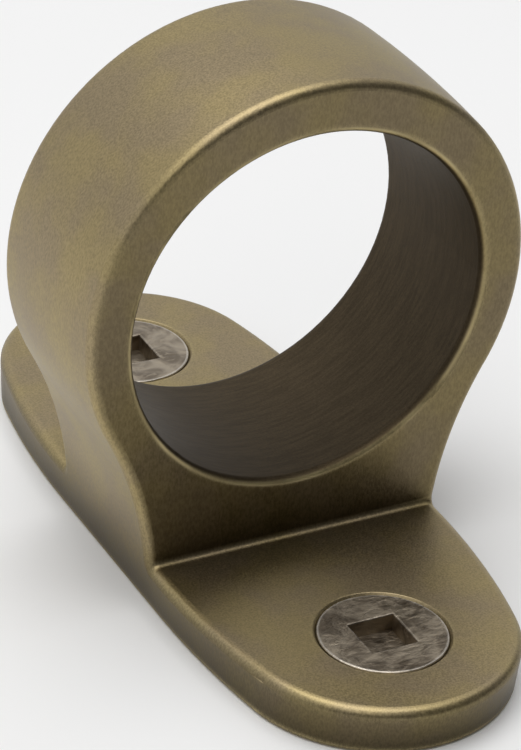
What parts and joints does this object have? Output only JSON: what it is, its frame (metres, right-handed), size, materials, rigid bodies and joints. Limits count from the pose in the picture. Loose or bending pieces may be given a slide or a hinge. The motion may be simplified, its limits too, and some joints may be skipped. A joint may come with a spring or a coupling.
{
  "type": "pad eye",
  "caption": "Aged brass pad eye: a wide-band ring on a concave neck standing across an oval screw plate, with square-drive countersunk wood screws in its ends.",
  "frame": {"origin": "centre of the plate's flat underside, where it bears on the wall or deck", "axes": "+Z out of the mounting surface through the ring; the plate's long side and the ring's bore run along Y; X across the plate"},
  "size_m": [0.0296, 0.0508, 0.0565],
  "materials": {
    "aged_brass": "satin antique brass, brushed, brighter on worn edges",
    "screw_metal": "antiqued pewter-brown plating, scuffed"
  },
  "bodies": {
    "eye": {"eye_body": "aged_brass"},
    "front_screw": {"screw_front": "screw_metal"},
    "rear_screw": {"screw_rear": "screw_metal"}
  },
  "joints": [
    {"name": "front_screw_draw", "type": "slide", "parent": "eye", "child": "front_screw", "axis": [0, 0, 1], "range_m": [0, 0.027]},
    {"name": "rear_screw_draw", "type": "slide", "parent": "eye", "child": "rear_screw", "axis": [0, 0, 1], "range_m": [0, 0.027]}
  ]
}
